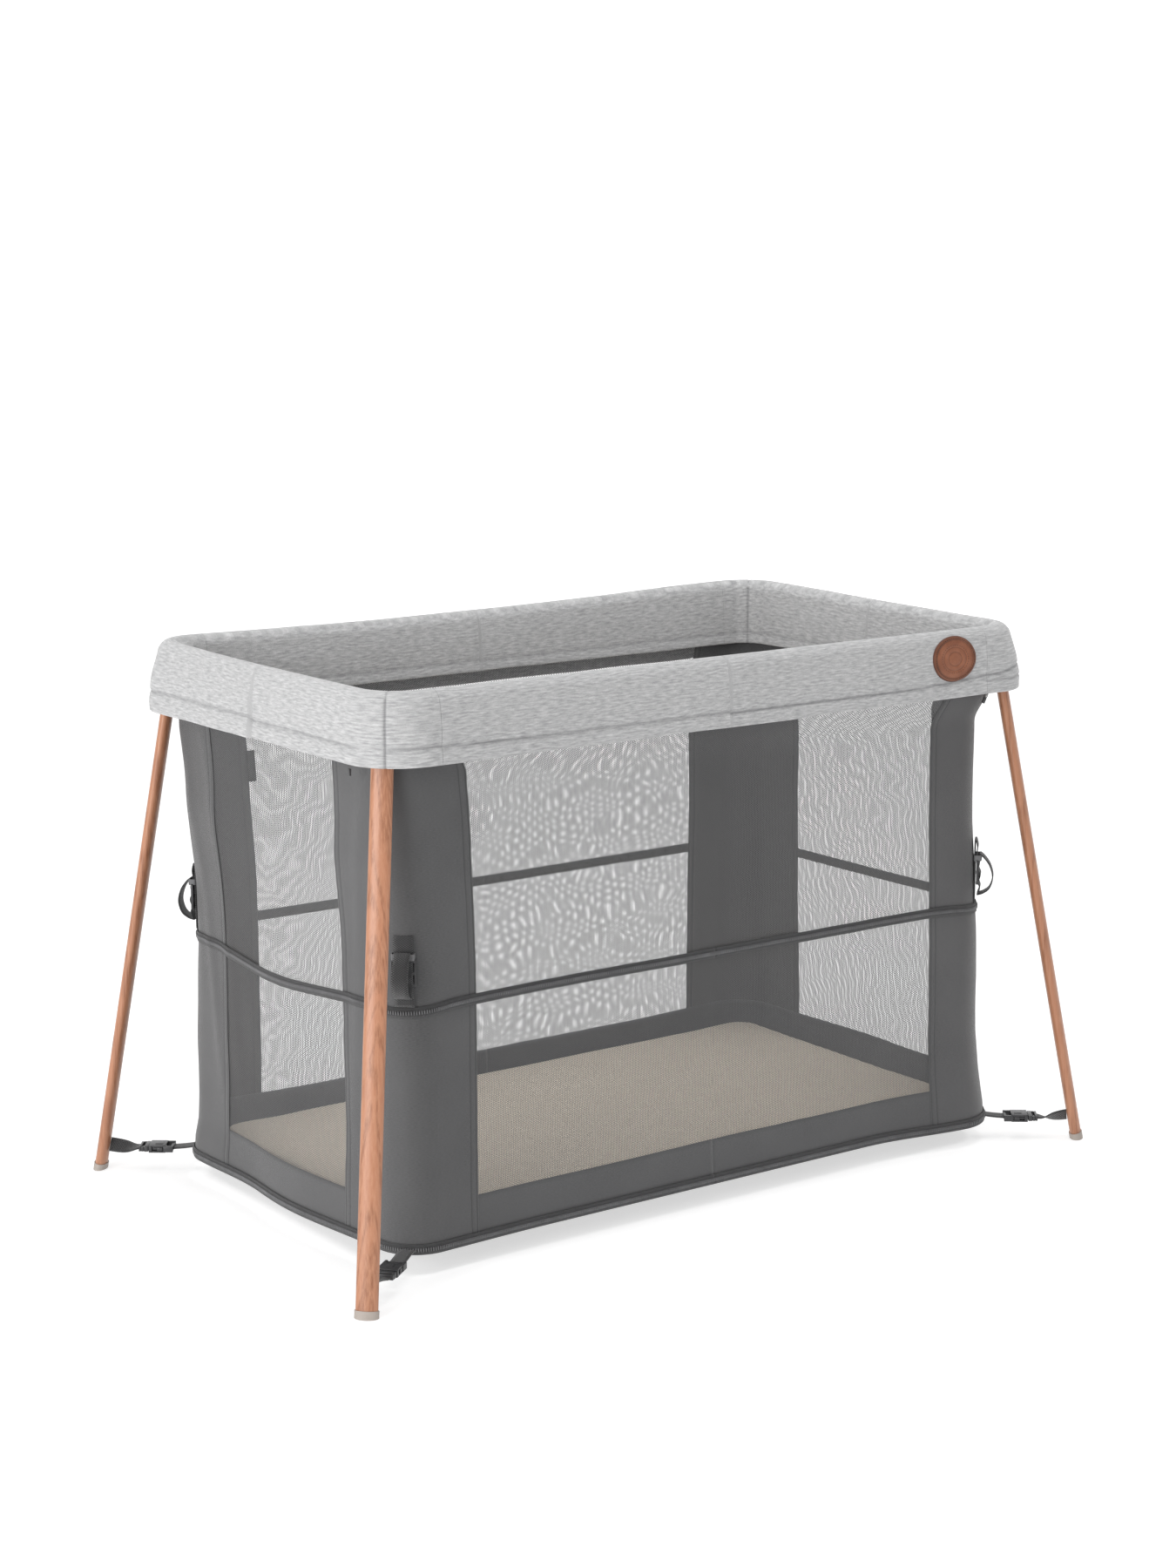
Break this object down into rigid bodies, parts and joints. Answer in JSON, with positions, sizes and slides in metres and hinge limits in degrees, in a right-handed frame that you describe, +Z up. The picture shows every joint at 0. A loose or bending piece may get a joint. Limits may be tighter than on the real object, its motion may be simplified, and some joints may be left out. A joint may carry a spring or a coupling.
{
  "type": "travel play yard",
  "caption": "Folding travel play yard: padded rim on four splayed legs, mesh-sided fabric body and a lift-out mattress.",
  "frame": {"origin": "on the floor, at the centre of the four feet's footprint", "axes": "+X along the long side, +Y from the patch side to the other long side, +Z up"},
  "size_m": [1.2034, 0.7334, 0.735],
  "materials": {
    "rim_knit": "light heather grey knit over foam",
    "panel_cloth": "dark grey woven polyester",
    "mesh": "grey hexagonal see-through mesh",
    "zip_tape": "near-black zip tape and coil teeth",
    "webbing": "black ribbed webbing",
    "mattress_cloth": "warm beige woven mattress cover",
    "board": "hardboard stiffeners",
    "leg_finish": "satin wood-effect print on aluminium tube",
    "cap_plastic": "light warm grey rubbery plastic",
    "frame_alu": "satin drawn tube",
    "bracket_plastic": "glass-filled black nylon",
    "pin_steel": "zinc-plated steel",
    "button_plastic": "mid grey nylon",
    "buckle_plastic": "black acetal",
    "leather": "tan-brown leather with a plain pressed pattern",
    "label_tape": "blank black woven tape"
  },
  "bodies": {
    "end_left": {"end_rail_left": "frame_alu", "corner_brackets_left": "bracket_plastic", "pivot_pins_left": "pin_steel", "rim_cover_end_left": "rim_knit", "corner_panels_left": "panel_cloth", "mesh_long_left": "mesh", "mesh_end_left": "mesh", "base_tray_left": "panel_cloth", "middle_zip_left": "zip_tape", "webbing_left": "webbing", "ladder_locks_left": "buckle_plastic", "buckle_females_left": "buckle_plastic", "blank_label": "label_tape"},
    "end_right": {"end_rail_right": "frame_alu", "corner_brackets_right": "bracket_plastic", "pivot_pins_right": "pin_steel", "rim_cover_end_right": "rim_knit", "corner_panels_right": "panel_cloth", "mesh_long_right": "mesh", "mesh_end_right": "mesh", "base_tray_right": "panel_cloth", "middle_zip_right": "zip_tape", "webbing_right": "webbing", "ladder_locks_right": "buckle_plastic", "buckle_females_right": "buckle_plastic"},
    "rail_front_left": {"long_rail_front_left": "frame_alu", "centre_hinge_front_left": "bracket_plastic", "rim_cover_front_left": "rim_knit", "latch_spring_front": "pin_steel"},
    "rail_front_right": {"long_rail_front_right": "frame_alu", "centre_hinge_front_right": "bracket_plastic", "rim_cover_front_right": "rim_knit", "leather_patch": "leather"},
    "rail_back_left": {"long_rail_back_left": "frame_alu", "centre_hinge_back_left": "bracket_plastic", "rim_cover_back_left": "rim_knit", "latch_spring_back": "pin_steel"},
    "rail_back_right": {"long_rail_back_right": "frame_alu", "centre_hinge_back_right": "bracket_plastic", "rim_cover_back_right": "rim_knit"},
    "button_front": {"latch_button_front": "button_plastic"},
    "leg_front_left": {"leg_tube_front_left": "leg_finish", "leg_knuckle_front_left": "bracket_plastic", "foot_cap_front_left": "cap_plastic"},
    "male_front_left": {"buckle_male_front_left": "buckle_plastic"},
    "leg_front_right": {"leg_tube_front_right": "leg_finish", "leg_knuckle_front_right": "bracket_plastic", "foot_cap_front_right": "cap_plastic"},
    "male_front_right": {"buckle_male_front_right": "buckle_plastic"},
    "button_back": {"latch_button_back": "button_plastic"},
    "leg_back_left": {"leg_tube_back_left": "leg_finish", "leg_knuckle_back_left": "bracket_plastic", "foot_cap_back_left": "cap_plastic"},
    "male_back_left": {"buckle_male_back_left": "buckle_plastic"},
    "leg_back_right": {"leg_tube_back_right": "leg_finish", "leg_knuckle_back_right": "bracket_plastic", "foot_cap_back_right": "cap_plastic"},
    "male_back_right": {"buckle_male_back_right": "buckle_plastic"},
    "mattress": {"mattress_pad": "mattress_cloth", "mattress_boards": "board"}
  },
  "joints": [
    {"name": "fold", "type": "hinge", "parent": "end_left", "child": "rail_front_left", "pos_m": [-0.441, -0.288, 0.705], "axis": [0, 1, 0], "range_deg": [0, 85], "deforming": ["mesh_long_left", "corner_panels_left", "base_tray_left", "middle_zip_left", "webbing_left", "mesh_end_left", "mesh_long_right", "corner_panels_right", "base_tray_right", "middle_zip_right", "webbing_right", "mesh_end_right", "rim_cover_front_left", "rim_cover_front_right", "rim_cover_back_left", "rim_cover_back_right", "mattress_pad", "mattress_boards", "blank_label"]},
    {"name": "fold_front_middle", "type": "hinge", "parent": "rail_front_left", "child": "rail_front_right", "pos_m": [0, -0.288, 0.723], "axis": [0, 1, 0], "range_deg": [-170, 0]},
    {"name": "fold_front_right", "type": "hinge", "parent": "rail_front_right", "child": "end_right", "pos_m": [0.441, -0.288, 0.705], "axis": [0, 1, 0], "range_deg": [0, 85]},
    {"name": "fold_back_left", "type": "hinge", "parent": "end_left", "child": "rail_back_left", "pos_m": [-0.441, 0.288, 0.705], "axis": [0, 1, 0], "range_deg": [0, 85]},
    {"name": "fold_back_middle", "type": "hinge", "parent": "rail_back_left", "child": "rail_back_right", "pos_m": [0, 0.288, 0.723], "axis": [0, 1, 0], "range_deg": [-170, 0]},
    {"name": "leg_fold_front_left", "type": "hinge", "parent": "end_left", "child": "leg_front_left", "pos_m": [-0.4987, -0.2701, 0.68], "axis": [0.9876, -0.1029, -0.1185], "range_deg": [0, 56.38], "deforming": ["rim_cover_end_left"]},
    {"name": "leg_fold_front_right", "type": "hinge", "parent": "end_right", "child": "leg_front_right", "pos_m": [0.4987, -0.2701, 0.68], "axis": [0.9876, 0.1029, 0.1185], "range_deg": [0, 56.38], "deforming": ["rim_cover_end_right"]},
    {"name": "leg_fold_back_left", "type": "hinge", "parent": "end_left", "child": "leg_back_left", "pos_m": [-0.4987, 0.2701, 0.68], "axis": [-0.9913, -0.0025, 0.1313], "range_deg": [0, 55.75], "deforming": ["rim_cover_end_left"]},
    {"name": "leg_fold_back_right", "type": "hinge", "parent": "end_right", "child": "leg_back_right", "pos_m": [0.4987, 0.2701, 0.68], "axis": [-0.9913, 0.0025, -0.1313], "range_deg": [0, 55.75], "deforming": ["rim_cover_end_right"]},
    {"name": "latch_front", "type": "slide", "parent": "rail_front_left", "child": "button_front", "axis": [0, 0, 1], "range_m": [0, 0.004], "stiffness_N_per_m": 800, "springref_m": -0.002, "deforming": ["latch_spring_front"]},
    {"name": "latch_back", "type": "slide", "parent": "rail_back_left", "child": "button_back", "axis": [0, 0, 1], "range_m": [0, 0.004], "stiffness_N_per_m": 800, "springref_m": -0.002, "deforming": ["latch_spring_back"]},
    {"name": "unclip_front_left", "type": "slide", "parent": "end_left", "child": "male_front_left", "axis": [-0.7882, -0.6154, 0], "range_m": [0, 0.022]},
    {"name": "unclip_front_right", "type": "slide", "parent": "end_right", "child": "male_front_right", "axis": [0.7882, -0.6154, 0], "range_m": [0, 0.022]},
    {"name": "unclip_back_left", "type": "slide", "parent": "end_left", "child": "male_back_left", "axis": [-0.7882, 0.6154, 0], "range_m": [0, 0.022]},
    {"name": "unclip_back_right", "type": "slide", "parent": "end_right", "child": "male_back_right", "axis": [0.7882, 0.6154, 0], "range_m": [0, 0.022]},
    {"name": "mattress_lift", "type": "slide", "parent": "end_left", "child": "mattress", "axis": [0, 0, 1], "range_m": [0, 0.72]}
  ],
  "couplings": [
    {"joint": "fold_front_middle", "follows": "fold", "ratio": -2},
    {"joint": "fold_front_right", "follows": "fold", "ratio": 1},
    {"joint": "fold_back_left", "follows": "fold", "ratio": 1},
    {"joint": "fold_back_middle", "follows": "fold", "ratio": -2}
  ]
}
